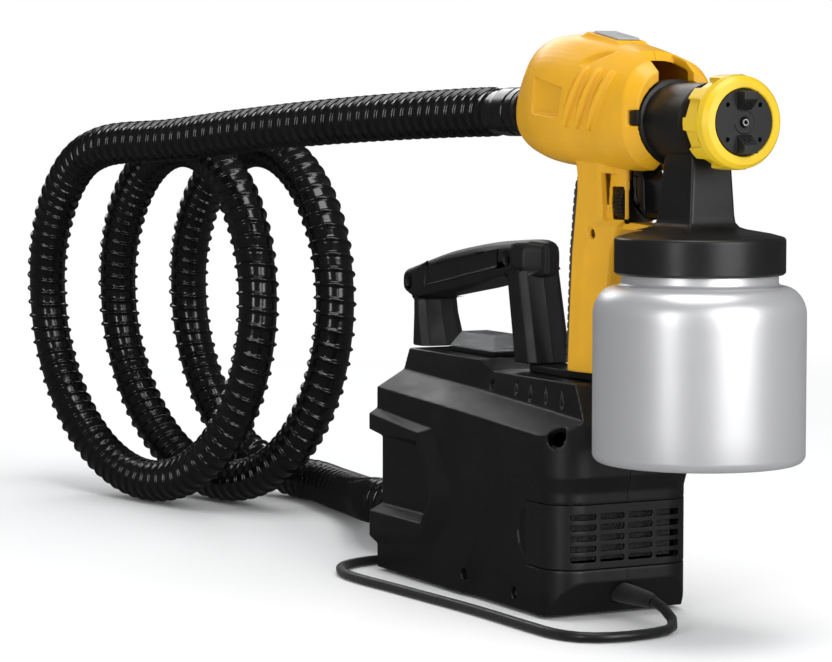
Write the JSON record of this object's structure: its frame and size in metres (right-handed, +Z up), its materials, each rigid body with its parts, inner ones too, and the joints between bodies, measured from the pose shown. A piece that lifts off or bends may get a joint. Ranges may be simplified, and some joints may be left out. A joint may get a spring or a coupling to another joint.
{
  "type": "electric hvlp paint sprayer",
  "caption": "Floor-standing turbine paint sprayer: black base with carrying handle, ribbed air hose looped behind, and a yellow spray gun with an aluminium paint cup docked on the base.",
  "frame": {"origin": "floor point under the middle of the object's box, cords and hose left out", "axes": "+Z up, -Y the spray direction, X across the base; X = 0 is the parting plane"},
  "size_m": [0.2702, 0.8962, 0.3466],
  "materials": {
    "black_plastic": "satin, fine texture",
    "handle_plastic": "satin",
    "cover_plastic": "satin",
    "front_plastic": "satin",
    "yellow_plastic": "semi-gloss",
    "ring_yellow": "semi-gloss",
    "hose_black": "glossy ribbed",
    "trim_black": "smooth",
    "rubber": "matte",
    "cord": "smooth flex",
    "foam": "open cell foam",
    "steel": "bright",
    "cup_aluminium": "satin spun",
    "fan_aluminium": "machined",
    "brass": "machined",
    "grey_plate": "satin",
    "nylon": "natural",
    "clear_pvc": "clear flexible"
  },
  "bodies": {
    "base": {"body_shell_left": "black_plastic", "body_shell_right": "black_plastic", "body_screw_1": "steel", "body_screw_2": "steel", "handle_left": "handle_plastic", "handle_right": "handle_plastic", "handle_screw_1": "steel", "handle_screw_2": "steel", "air_filter": "foam", "gun_dock": "black_plastic", "foot_1": "rubber", "foot_2": "rubber", "foot_3": "rubber", "foot_4": "rubber", "motor_mount_ring": "rubber", "turbine_motor": "steel", "fan_housing": "black_plastic", "outlet_socket": "trim_black", "hose_cuff_base": "trim_black", "switch_frame": "trim_black", "switch_boot": "clear_pvc", "strain_relief": "cord", "power_cord": "cord", "cord_coil": "cord", "mains_plug": "cord", "plug_pin_1": "steel", "plug_pin_2": "steel", "air_hose": "hose_black"},
    "filter_cover": {"filter_cover": "cover_plastic"},
    "turbine_rotor": {"turbine_fan": "fan_aluminium", "turbine_shaft": "steel"},
    "rocker": {"rocker_switch": "trim_black"},
    "gun": {"gun_shell_left": "yellow_plastic", "gun_shell_right": "yellow_plastic", "gun_screw": "steel", "label_plate": "grey_plate", "grip_strip": "rubber", "air_inlet": "trim_black", "hose_cuff_gun": "trim_black", "trigger_pin": "steel", "release_tab": "trim_black"},
    "trigger": {"trigger": "trim_black"},
    "flow_knob": {"flow_knob": "trim_black"},
    "front_end": {"front_body": "front_plastic", "fluid_nozzle": "brass", "air_distributor": "nylon", "needle_packing": "nylon", "needle_guide": "front_plastic", "needle_spring": "steel", "cup_gasket": "rubber", "pickup_tube": "nylon"},
    "needle": {"fluid_needle": "steel"},
    "ring_nut": {"ring_nut": "ring_yellow"},
    "air_cap": {"air_cap": "front_plastic"},
    "cup": {"paint_cup": "cup_aluminium"}
  },
  "joints": [
    {"name": "gun_lift", "type": "slide", "parent": "base", "child": "gun", "axis": [0, 0, 1], "range_m": [0, 0.04]},
    {"name": "filter_cover_slide", "type": "slide", "parent": "base", "child": "filter_cover", "axis": [0, -1, 0], "range_m": [0, 0.045]},
    {"name": "turbine_spin", "type": "hinge", "parent": "base", "child": "turbine_rotor", "pos_m": [0, 0.0915, 0.06], "axis": [0, 1, 0], "continuous": true},
    {"name": "switch_rock", "type": "hinge", "parent": "base", "child": "rocker", "pos_m": [0, 0.1075, 0.1456], "axis": [1, 0, 0], "range_deg": [-8, 0]},
    {"name": "trigger_pull", "type": "hinge", "parent": "gun", "child": "trigger", "pos_m": [0, -0.0785, 0.2665], "axis": [1, 0, 0], "range_deg": [0, 8], "stiffness_Nm_per_rad": 3},
    {"name": "flow_knob_turn", "type": "hinge", "parent": "gun", "child": "flow_knob", "pos_m": [0, -0.0685, 0.245], "axis": [0, 1, 0], "range_deg": [0, 270]},
    {"name": "front_end_twist", "type": "hinge", "parent": "gun", "child": "front_end", "pos_m": [0, -0.1095, 0.292], "axis": [0, 1, 0], "range_deg": [0, 45]},
    {"name": "needle_slide", "type": "slide", "parent": "front_end", "child": "needle", "axis": [0, 1, 0], "range_m": [0, 0.003]},
    {"name": "ring_nut_turn", "type": "hinge", "parent": "front_end", "child": "ring_nut", "pos_m": [0, -0.1705, 0.292], "axis": [0, 1, 0], "continuous": true},
    {"name": "air_cap_turn", "type": "hinge", "parent": "front_end", "child": "air_cap", "pos_m": [0, -0.1805, 0.292], "axis": [0, 1, 0], "range_deg": [0, 90]},
    {"name": "cup_unscrew", "type": "hinge", "parent": "front_end", "child": "cup", "pos_m": [0, -0.1382, 0.21], "axis": [0, 0, 1], "continuous": true}
  ],
  "couplings": [
    {"joint": "needle_slide", "follows": "trigger_pull", "m_per_rad": 0.02}
  ]
}
